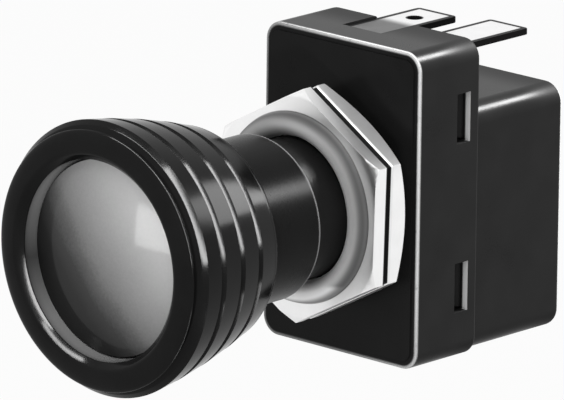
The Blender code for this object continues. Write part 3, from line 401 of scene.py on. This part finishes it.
MATERIALS = {
    "black_moulding": black_moulding("black_moulding", BODY_HALF, 0.0, BODY_TALL, BODY_CORNER,
                                     rim=BODY_FRONT, dull=(9.0, 15.0), windows=True),
    "rear_moulding": black_moulding("rear_moulding", REAR_HALF, -4.3, 15.5, REAR_CORNER,
                                    rim=REAR_BACK, dull=(26.0, 32.0)),
    "black_gloss": black_gloss(),
    "nickel_plate": nickel(),
    "feed_tin": tinned("feed_tin", "x", FEED_X, FEED_TIP),
    "load_tin": tinned("load_tin", "x", LOAD_X, LOAD_TIP, holed=False),
    "earth_tin": tinned("earth_tin", "z", 0.0, EARTH_TIP),
    "brass": metal("brass", (0.52, 0.36, 0.13), (0.70, 0.50, 0.20), 0.24, 0.2),
    "contact_silver": metal("contact_silver", (0.80, 0.79, 0.76), (0.92, 0.91, 0.88), 0.2, 0.1),
    "spring_steel": metal("spring_steel", (0.34, 0.34, 0.35), (0.50, 0.50, 0.51), 0.22, 0.1),
    "frosted_lens": frosted_lens(),
    "bulb_glass": bulb_glass(),
    "brown_moulding": moulding("brown_moulding", (0.07, 0.030, 0.014), (0.12, 0.055, 0.028), 0.42),
    "white_insulation": moulding("white_insulation", (0.66, 0.65, 0.61), (0.80, 0.79, 0.75), 0.45),
}


# Basic shapes

def solid(bm, name):
    """Makes an object of a bmesh, with its faces turned outwards."""
    mesh = bpy.data.meshes.new(name)
    bmesh.ops.recalc_face_normals(bm, faces=bm.faces)
    bm.to_mesh(mesh)
    bm.free()
    obj = bpy.data.objects.new(name, mesh)
    bpy.context.scene.collection.objects.link(obj)
    return obj


def filleted(corners):
    """The points of an open profile whose inner corners (radius, reach, fillet) are rounded."""
    points = []
    for i, (x, y, *rest) in enumerate(corners):
        fillet = rest[0] if rest else 0.0
        if not fillet or i in (0, len(corners) - 1):
            points.append((x, y))
            continue
        here = Vector((x, y))
        before = Vector(corners[i - 1][:2]) - here
        after = Vector(corners[i + 1][:2]) - here
        half = before.angle(after) / 2
        reach = min(fillet / math.tan(half), 0.48 * before.length, 0.48 * after.length)
        radius = reach * math.tan(half)
        before.normalize()
        after.normalize()
        centre = here + (before + after).normalized() * (radius / math.sin(half))
        start = here + before * reach - centre
        end = here + after * reach - centre
        turn = start.angle_signed(end)
        for k in range(FILLET_STEPS + 1):
            point = start.copy()
            point.rotate(Matrix.Rotation(-turn * k / FILLET_STEPS, 2))
            points.append(tuple(centre + point))
    return points


def arc(centre, radii, start, end, count):
    """Points on an ellipse's arc between two angles in degrees, both ends included."""
    made = []
    for i in range(count):
        angle = math.radians(start + (end - start) * i / (count - 1))
        made.append((centre[0] + radii[0] * math.cos(angle), centre[1] + radii[1] * math.sin(angle)))
    return made


def ring_of(centre, radius, count=32, start=0.0):
    """Corners spaced evenly on a circle, the first one at an angle in degrees."""
    made = []
    for i in range(count):
        angle = math.radians(start) + 2 * math.pi * i / count
        made.append((centre[0] + radius * math.cos(angle), centre[1] + radius * math.sin(angle)))
    return made


def turned(name, profile, steps=TURN_STEPS, closed=False):
    """A shape turned about the neck's axis from (radius, reach) points, with reach towards -Y.

    A closed profile goes round to its first point. An open one starts and ends on the axis.
    """
    bm = bmesh.new()
    rings = []
    for radius, reach in profile:
        radius, y = radius * MM, -reach * MM
        if radius < ON_AXIS:
            rings.append([bm.verts.new((0, y, 0))])
            continue
        ring = []
        for i in range(steps):
            angle = 2 * math.pi * i / steps
            ring.append(bm.verts.new((radius * math.cos(angle), y, radius * math.sin(angle))))
        rings.append(ring)
    pairs = list(zip(rings, rings[1:]))
    if closed:
        pairs.append((rings[-1], rings[0]))
    for first, second in pairs:
        for i in range(steps):
            j = (i + 1) % steps
            around = [first[i % len(first)], first[j % len(first)],
                      second[j % len(second)], second[i % len(second)]]
            corners = list(dict.fromkeys(around))
            if len(corners) > 2:
                bm.faces.new(corners)
    return solid(bm, name)


def bevel(bm, chosen, offset, segments):
    """Cuts back the edges that a test chooses, or rounds them with two or more segments."""
    bmesh.ops.bevel(bm, geom=[edge for edge in bm.edges if chosen(edge)], offset=offset * MM,
                    segments=segments, profile=0.5, affect="EDGES", clamp_overlap=True)


def bevel_rim(bm, y, offset, segments):
    """Bevels the edges that lie at one y."""
    def on_rim(edge):
        return all(abs(vert.co.y - y * MM) < SAME_PLACE for vert in edge.verts)

    bevel(bm, on_rim, offset, segments)


def box(name, x, y, z, corner=0.0, front_edge=0.0, back_edge=0.0):
    """A box between (low, high) pairs, with rounded edges along Y and rounded rims."""
    sides = [(low * MM, high * MM) for low, high in (x, y, z)]
    size = [high - low for low, high in sides]
    middle = [(high + low) / 2 for low, high in sides]
    bm = bmesh.new()
    bmesh.ops.create_cube(bm, size=1.0)
    bmesh.ops.transform(bm, matrix=Matrix.LocRotScale(Vector(middle), None, Vector(size)), verts=bm.verts)
    if corner:
        bevel(bm, lambda edge: abs(edge.verts[0].co.y - edge.verts[1].co.y) > size[1] / 2, corner,
              CORNER_STEPS)
    for level, offset in zip(y, (front_edge, back_edge)):
        if offset:
            bevel_rim(bm, level, offset, EDGE_STEPS)
    return solid(bm, name)


PLANES = {
    "XY": Matrix.Identity(4),
    "XZ": Matrix(((1, 0, 0, 0), (0, 0, 1, 0), (0, 1, 0, 0), (0, 0, 0, 1))),
    "YZ": Matrix(((0, 0, 1, 0), (1, 0, 0, 0), (0, 1, 0, 0), (0, 0, 0, 1))),
}


def plate(name, outlines, plane, low, high):
    """A flat piece in a plane, from its outline and the outlines of its holes, from low to high."""
    bm = bmesh.new()
    edges = []
    for outline in outlines:
        around = [bm.verts.new((u * MM, v * MM, low * MM)) for u, v in outline]
        edges += [bm.edges.new((around[i - 1], around[i])) for i in range(len(around))]
    bmesh.ops.triangle_fill(bm, use_beauty=True, use_dissolve=True, edges=edges)
    raised = bmesh.ops.extrude_face_region(bm, geom=bm.faces[:])
    moved = [item for item in raised["geom"] if isinstance(item, bmesh.types.BMVert)]
    bmesh.ops.translate(bm, vec=(0, 0, high * MM - low * MM), verts=moved)
    bmesh.ops.transform(bm, matrix=PLANES[plane], verts=bm.verts)
    return solid(bm, name)


def settle(obj):
    """Applies a piece's modifiers."""
    bpy.context.view_layer.update()
    graph = bpy.context.evaluated_depsgraph_get()
    mesh = bpy.data.meshes.new_from_object(obj.evaluated_get(graph))
    obj.modifiers.clear()
    old = obj.data
    obj.data = mesh
    bpy.data.meshes.remove(old)


def combine(operation, obj, *others):
    """Changes a piece by other shapes, which are removed afterwards."""
    for other in others:
        step = obj.modifiers.new(operation.title(), "BOOLEAN")
        step.operation = operation
        step.object = other
        other.hide_render = True
        other.hide_viewport = True
    settle(obj)
    for other in others:
        bpy.data.objects.remove(other)


def cut(obj, *others):
    combine("DIFFERENCE", obj, *others)


def join(obj, *others):
    combine("UNION", obj, *others)


def soften_edges(obj, width, segments=3):
    """Rounds what is still sharp by a small amount."""
    bm = bmesh.new()
    bm.from_mesh(obj.data)
    bmesh.ops.remove_doubles(bm, verts=bm.verts, dist=SAME_PLACE)
    bmesh.ops.dissolve_limit(bm, angle_limit=FLAT_ANGLE, verts=bm.verts, edges=bm.edges)
    bm.to_mesh(obj.data)
    bm.free()
    rounding = obj.modifiers.new("Rounding", "BEVEL")
    rounding.width = width * MM
    rounding.segments = segments
    rounding.limit_method = "ANGLE"
    rounding.angle_limit = ROUNDED_ANGLE
    rounding.use_clamp_overlap = True
    rounding.harden_normals = False
    settle(obj)


def finish_piece(obj, name, body, slot, node, look=None):
    """Names a piece, gives it its finish and lets it stand for its CAD node."""
    obj.name = name
    obj.data.materials.clear()
    obj.data.materials.append(MATERIALS[look or slot])
    obj.data.shade_smooth()
    obj.data.set_sharp_from_angle(angle=SHARP_ANGLE)
    flats = obj.modifiers.new("Flats", "WEIGHTED_NORMAL")
    flats.keep_sharp = True
    settle(obj)
    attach(obj, body)
    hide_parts(node)


# Knob and lens, as (radius, reach) with reach towards the camera's side

def flare_radius(reach):
    """Radius over the ribs, which falls faster and faster behind the ring."""
    behind = RING_FRONT - reach
    return 16.955 - behind * 0.11 - behind ** 2 * 0.0063


def land(start, end, crown, count=7):
    """A flat land between two corners, crowned a little."""
    points = []
    run = math.dist(start, end)
    out = ((end[1] - start[1]) / run, (start[0] - end[0]) / run)
    for i in range(count):
        share = i / (count - 1)
        rise = crown * (1 - (2 * share - 1) ** 2)
        points.append((start[0] + (end[0] - start[0]) * share - out[0] * rise,
                       start[1] + (end[1] - start[1]) * share - out[1] * rise))
    return points


def knob_outside():
    """The ring's face, the four ribs, the shoulder and the skirt."""
    lip = land((12.25, 36.75), (13.0, 37.5), crown=0.02)
    ring = arc((13.2, RING_FRONT), (2.65, 0.7), 88, 8, 26)
    ribs = [(15.85, RING_FRONT, 0.1)]
    for i in range(4):
        front = RING_FRONT - RIB_PITCH * i
        bottom = ribs[-1][0] - 0.5
        ribs.append((bottom, front - 0.25, 0.12))
        ribs.append((bottom + 0.05, front - 0.45, 0.05))
        if i == 0:
            edge = flare_radius(35.3)
            ribs += land((edge - 0.60, 36.07), (edge + 0.02, 35.39), crown=0.008)
        else:
            edge = flare_radius(front - 0.95)
            ribs += land((edge - 0.40, front - 0.52), (edge + 0.02, front - 0.98), crown=0.008)
        ribs.append((flare_radius(front - 2.4), front - 2.4))
        ribs.append((flare_radius(front - RIB_PITCH), front - RIB_PITCH, 0.14))
    over = flare_radius(SHOULDER) - SKIRT_RADIUS
    shoulder = arc((SKIRT_RADIUS, SHOULDER), (over, 1.6), -12, -84, 16)
    skirt = [(SKIRT_RADIUS, 18.6, 0.5), (SKIRT_RADIUS, 9.25, 0.1), (9.95, 8.9, 0.1), (8.95, 8.9)]
    return filleted([*lip, *ring, *ribs, *shoulder, *skirt])


def make_knob():
    """The knob, with the stem's socket, the lamp's well and the seat of the lens inside."""
    inside = [(8.95, 17.3), (4.8, 17.3), (4.8, 27.0), (6.3, 27.0), (6.3, 21.6), (11.25, 21.6),
              (13.7, 32.1), (10.7, 32.1), (10.7, 33.3), (12.1, 33.3)]
    knob = turned("knob_skin", knob_outside() + inside, closed=True)
    finish_piece(knob, "knob_body", "plunger", "black_gloss", "knob")


def make_lens():
    """The lens, domed, with its rim behind the ring."""
    apex, sag, thick = 36.6, 1.7, 1.5
    ball = (LENS_RADIUS ** 2 + sag ** 2) / (2 * sag)
    angle = math.degrees(math.asin(LENS_RADIUS / ball))
    outer = arc((0, apex - ball), (ball, ball), 90, 90 - angle, 24)
    inner = arc((0, apex - ball), (ball - thick, ball - thick), 90 - angle, 90, 12)
    rim = [(LENS_RADIUS, apex - sag - thick), (inner[0][0], apex - sag - thick)]
    lens = turned("lens_skin", [*outer, *rim, *inner])
    finish_piece(lens, "lens_window", "plunger", "frosted_lens", "lens")


# Nuts

def hexagon(name, low, high):
    """A hexagon turned as in the photograph."""
    corner = ACROSS_FLATS / 2 / math.cos(math.pi / 6)
    return plate(name, [ring_of((0, 0), corner, 6, 88.5)], "XZ", low, high)


def trim(nut, name, profile):
    """Leaves only what lies inside a turned shape."""
    combine("INTERSECT", nut, turned(name, profile))


def bore(nut, name, front, back):
    """Cuts the nut's hole between two places in y."""
    cut(nut, turned(name, [(0, -front), (NUT_HOLE, -front), (NUT_HOLE, -back), (0, -back)]))


def make_nuts():
    """Both nuts, with the collar on the front one."""
    slope = math.tan(math.radians(30))
    flats = ACROSS_FLATS / 2
    wide = flats / math.cos(math.pi / 6) + 0.2
    rear = hexagon("rear_hexagon", 0.0, 3.2)
    bm = bmesh.new()
    bm.from_mesh(rear.data)
    bevel_rim(bm, 0.0, 0.61, 1)
    bm.to_mesh(rear.data)
    bm.free()
    inner = flats - 0.3
    trim(rear, "rear_cone", [(0, 0.5), (wide, 0.5), (wide, -3.2 + (wide - inner) * slope), (inner, -3.2),
                             (0, -3.2)])
    bore(rear, "rear_bore", -1.0, 6.0)
    soften_edges(rear, 0.10)
    finish_piece(rear, "rear_hex_nut", "housing", "nickel_plate", "rear_nut")

    front = hexagon("front_hexagon", -2.5, -0.4)
    inner = flats + 0.9
    trim(front, "front_cone", [(0, 2.5), (inner, 2.5), (wide, 2.5 - (wide - inner) * slope), (wide, 0.0),
                               (0, 0.0)])
    dome = arc((10.375, 2.5), (1.425, 1.5), 167, 0, 36)
    join(front, turned("collar", [(0, dome[0][1]), *dome, (COLLAR_RADIUS, 2.2), (0, 2.2)]))
    bore(front, "front_bore", -5.0, 0.0)
    soften_edges(front, 0.10)
    finish_piece(front, "front_hex_nut", "housing", "nickel_plate", "front_nut")


# Housings

def make_front_housing():
    """Body with its face pad, windows and slots, and the neck."""
    body = box("front_body", (-BODY_HALF, BODY_HALF), (BODY_FRONT, 16.3), (-BODY_TALL, BODY_TALL),
               corner=BODY_CORNER, front_edge=0.5, back_edge=0.5)
    rim = box("face_rim", (-20, 20), (4.3, 5.5), (-30, 30))
    cut(rim, box("face_pad", (-11.7, 11.7), (3.0, 7.0), (-18.8, 18.8), corner=1.4))
    cut(body, rim, box("cavity", (-10.8, 10.8), (7.5, 18.0), (-17.8, 17.4), corner=1.0))
    neck = turned("neck", filleted([(0, 17.0), (7.95, 17.0, 0.2), (8.75, 16.2, 0.3), (8.75, -6.4),
                                    (0, -6.4)]))
    boss = turned("boss", [(0, -6.4), (4.2, -6.4), (4.2, -12.2), (0, -12.2)], SMALL_STEPS)
    join(body, neck, boss)
    guide = turned("guide", [(0, 18.0), (4.8, 18.0), (4.8, 6.5), (3.0, 6.5), (3.0, -13.0), (0, -13.0)],
                   SMALL_STEPS)
    load = box("load_channel", (2.2, 10.55), (10.0, 18.0), (16.4, 19.2))
    cut(load, box("load_wall", (2.25, 4.05), (14.5, 19.0), (17.4, 21.0)))
    cut(body, guide, load,
        box("feed_slot", (-4.25, 2.25), (10.0, 18.0), (FEED_TOP - 1.1, 21.0)),
        box("feed_drop", (-4.2, 2.2), (10.05, 11.4), (16.4, FEED_TOP)))
    for side in (-1, 1):
        for level in WINDOW_LEVELS:
            x = sorted((side * 9.8, side * 13.7))
            cut(body, box("window", x, (WINDOW_FRONT, WINDOW_BACK), (level - 3.1, level + 3.1)))
    soften_edges(body, 0.08, segments=2)
    finish_piece(body, "front_body_moulding", "housing", "black_moulding", "front_housing")


def make_rear_housing():
    """Box behind, with its insert and four snap catches."""
    shell = box("rear_shell", (-REAR_HALF, REAR_HALF), (16.6, REAR_BACK), (-19.8, 11.2),
                corner=REAR_CORNER, back_edge=0.8)
    insert = box("insert", (-10.5, 10.5), (12.0, 17.5), (-17.5, 17.1))
    cut(insert, box("behind_insert", (-20, 20), (16.6, 33), (8.7, 40)))
    join(shell, insert)
    cut(shell, box("upper_space", (-9.5, 9.5), (11, 14.5), (8.4, 18.1)),
        box("insert_space", (-9.5, 9.5), (11, 30.1), (-16.5, 9.3)),
        box("rear_space", (-9.8, 9.8), (18.4, 31.1), (-18.0, 9.4)))
    tower = turned("tower", [(3.4, -18.9), (3.4, -11.2), (2.3, -11.2), (2.3, -18.1), (0, -18.1),
                             (0, -18.9)], SMALL_STEPS)
    tower.data.transform(Matrix.Translation((0, 21.05 * MM, 0)) @ Matrix.Rotation(-math.pi / 2, 4, "X"))
    join(shell, tower)
    cut(shell, box("earth_slot", (-9.4, -8.3), (30.1, 34), (-3.35, 3.35)))
    for side in (-1, 1):
        for level in WINDOW_LEVELS:
            outline = [(side * u, v) for u, v in CATCH]
            join(shell, plate("catch", [outline], "XY", level - 2.8, level + 2.8))
    soften_edges(shell, 0.08, segments=2)
    finish_piece(shell, "rear_box_moulding", "housing", "black_moulding", "rear_housing", "rear_moulding")


# Blades

def blade_outline(middle, start, tip):
    """A blade from start to tip, with its tip's corners rounded."""
    low, high = middle - BLADE_HALF, middle + BLADE_HALF
    corners = (TIP_CORNER, TIP_CORNER)
    right = arc((high - TIP_CORNER, tip - TIP_CORNER), corners, 0, 90, 8)
    left = arc((low + TIP_CORNER, tip - TIP_CORNER), corners, 90, 180, 8)
    return [(low, start), (high, start), *right, *left]


def make_blade(name, node, look, middle, top, tip, contact_place, holed):
    """A blade that turns down into a leg with a hole for its contact."""
    outlines = [blade_outline(middle, LEG_FRONT, tip)]
    if holed:
        outlines.append(ring_of((middle, tip - HOLE_FROM_TIP), BLADE_HOLE))
    blade = plate("blade", outlines, "XY", top - BLADE_THICK, top)
    low, high = contact_place - 2, contact_place + 2
    left, right = middle - BLADE_HALF, middle + BLADE_HALF
    leg = [(low, 4.5), (high, 4.5), (high, 12.7), (right, 17.1), (right, top), (left, top), (left, 17.1),
           (low, 12.7)]
    hole = ring_of((contact_place, 6.5), 0.8)
    join(blade, plate("leg", [leg, hole], "XZ", LEG_FRONT, LEG_BACK))
    soften_edges(blade, 0.10)
    finish_piece(blade, name, "housing", "tinned_brass", node, look)


def make_blades():
    """The two blades in the roof and the earth blade behind."""
    make_blade("feed_blade", "feed_terminal", "feed_tin", FEED_X, FEED_TOP, FEED_TIP, -4.3, holed=True)
    make_blade("load_blade", "load_terminal", "load_tin", LOAD_X, LOAD_TOP, LOAD_TIP, 4.3, holed=False)
    outline = [(y, z) for z, y in blade_outline(0, 17.2, EARTH_TIP)]
    hole = ring_of((EARTH_TIP - HOLE_FROM_TIP, 0), BLADE_HOLE)
    earth = plate("earth", [outline, hole], "YZ", -9.3, -8.5)
    soften_edges(earth, 0.10)
    finish_piece(earth, "earth_blade", "housing", "tinned_brass", "earth_terminal", "earth_tin")


# Studio

def make_camera():
    """The camera fitted to the photograph's outlines."""
    turn, dip, roll = (math.radians(angle) for angle in (42.90, 15.25, -0.66))
    across = Vector((math.cos(turn), math.sin(turn), 0))
    ahead = Vector((-math.sin(turn) * math.cos(dip), math.cos(turn) * math.cos(dip), -math.sin(dip)))
    upwards = across.cross(ahead)
    place = Vector((0, BODY_FRONT, 0)) - 7.02 * across - 0.64 * upwards - 1090.9 * ahead
    right = math.cos(roll) * across - math.sin(roll) * upwards
    top = math.sin(roll) * across + math.cos(roll) * upwards
    focal_pixels, photo_pixels = 9000, 564
    data = bpy.data.cameras.new("camera")
    data.sensor_width = 36.0
    data.lens = focal_pixels * 36.0 / photo_pixels
    data.clip_start = 0.05
    data.clip_end = 20.0
    camera = bpy.data.objects.new("camera", data)
    turned_to = Matrix((right, top, -ahead)).transposed()
    camera.matrix_world = Matrix.Translation(place * MM) @ turned_to.to_4x4()
    bpy.context.scene.collection.objects.link(camera)
    bpy.context.scene.camera = camera


def towards(azimuth, elevation):
    """A direction from the object, with azimuth 0 in front of it and 90 at its right."""
    turn, rise = math.radians(azimuth), math.radians(elevation)
    return Vector((math.sin(turn) * math.cos(rise), -math.cos(turn) * math.cos(rise), math.sin(rise)))


def make_lamp(name, direction, distance, spread, radiance, lit=(), long_side=(0, 0, 1)):
    """A lamp in a direction from the object, spread over so many degrees across and along its long side.

    The distance is in metres. The lamp lights only the pieces named by lit, or everything if none is.
    """
    data = bpy.data.lights.new(name, "AREA")
    data.shape = "RECTANGLE"
    data.size, data.size_y = (2 * distance * math.tan(math.radians(angle / 2)) for angle in spread)
    data.energy = radiance * math.pi * data.size * data.size_y
    lamp = bpy.data.objects.new(name, data)
    lamp.visible_camera = False
    back = direction.normalized()
    across = Vector(long_side).cross(back).normalized()
    along = back.cross(across)
    facing = Matrix((across, along, back)).transposed()
    lamp.matrix_world = Matrix.Translation(back * distance) @ facing.to_4x4()
    bpy.context.scene.collection.objects.link(lamp)
    if lit:
        receivers = bpy.data.collections.new(f"{name}_receivers")
        for piece in lit:
            receivers.objects.link(bpy.data.objects[piece])
        lamp.light_linking.receiver_collection = receivers


def make_lamps():
    """A soft overall light, and narrower lamps that draw the highlights on single pieces."""
    knob = ["knob_body"]
    housings = ["front_body_moulding", "rear_box_moulding"]
    nuts = ["front_hex_nut", "rear_hex_nut"]
    lens = ["lens_window"]
    make_lamp("soft_key", towards(30, 50), 0.9, (40, 40), 2.4)
    make_lamp("rib_strip", towards(38, 27), 0.5, (6, 62), 140, knob, (-0.66, 0.12, 0.75))
    make_lamp("rib_low", towards(50, -45), 0.11, (7, 40), 34, knob)
    make_lamp("lip_strip", towards(-13, 50), 0.5, (6, 46), 100, knob, (0.78, -0.27, -0.09))
    make_lamp("rib_back", towards(165, 18), 0.9, (22, 16), 12, knob)
    make_lamp("skirt_back", towards(145, 31), 0.9, (11, 11), 48, knob)
    make_lamp("corner_back", towards(160, 41), 0.9, (13, 13), 210, housings)
    make_lamp("edge_low", towards(46, -16), 0.45, (9, 7), 90, housings)
    make_lamp("nut_left", towards(-43, -12), 0.5, (50, 50), 0.25, nuts)
    make_lamp("nut_right", towards(137, -10), 0.5, (50, 40), 0.25, nuts)
    make_lamp("lens_window_light", towards(-19, -8), 0.8, (15, 21), 20, lens)


def make_surroundings():
    """White surroundings that light the pieces less than they look."""
    world = bpy.data.worlds.new("studio")
    bpy.context.scene.world = world
    world.use_nodes = True
    sky = Nodes(world.node_tree)
    soft, white = (sky.node("ShaderNodeBackground", {}, {"Color": grey(1.0), "Strength": strength})
                   for strength in (0.40, 1.0))
    either = sky.node("ShaderNodeMixShader", {}, {0: sky.seen(), 1: soft, 2: white})
    end = sky.tree.nodes.new("ShaderNodeOutputWorld")
    sky.put(end.inputs["Surface"], either)


def make_floor():
    """A pale floor that looks as white as what surrounds it."""
    f = Finish("floor")
    f.set(Base_Color=f.between(grey(0.94), grey(0.97), f.noise(40)), Roughness=0.9)
    f.set(Specular_IOR_Level=0.0)
    lit = Value(f, f.shader.outputs["BSDF"])
    glow = f.node("ShaderNodeEmission", {}, {"Color": grey(1.0), "Strength": 1.0})
    either = f.node("ShaderNodeMixShader", {}, {0: f.seen() * 0.94, 1: lit, 2: glow})
    f.put(f.end.inputs["Surface"], either)
    bm = bmesh.new()
    bmesh.ops.create_grid(bm, x_segments=1, y_segments=1, size=6.0)
    floor = solid(bm, "floor")
    floor.location = (0, 0, -0.12)
    floor.data.materials.append(f.material)


def dress_cad_nodes():
    """Gives each CAD node that still shows its finish, and smooth shading on its round faces.

    The blades' own slot has no finish here, because all three are replaced.
    """
    slots = {entry["node"]: entry["material_slot"] for entry in frame["record"]["subparts"]}
    for name, node in frame["nodes"].items():
        if slots[name] not in MATERIALS:
            continue
        node.data.materials.clear()
        node.data.materials.append(MATERIALS[slots[name]])
        weld = node.modifiers.new("Weld", "WELD")
        weld.merge_threshold = SAME_PLACE
        split = node.modifiers.new("Edges", "EDGE_SPLIT")
        split.split_angle = SHARP_ANGLE
        node.data.shade_smooth()


make_camera()
make_surroundings()
make_floor()
bpy.context.scene.view_settings.view_transform = "Standard"
make_knob()
make_lens()
make_nuts()
make_front_housing()
make_rear_housing()
make_blades()
dress_cad_nodes()
make_lamps()
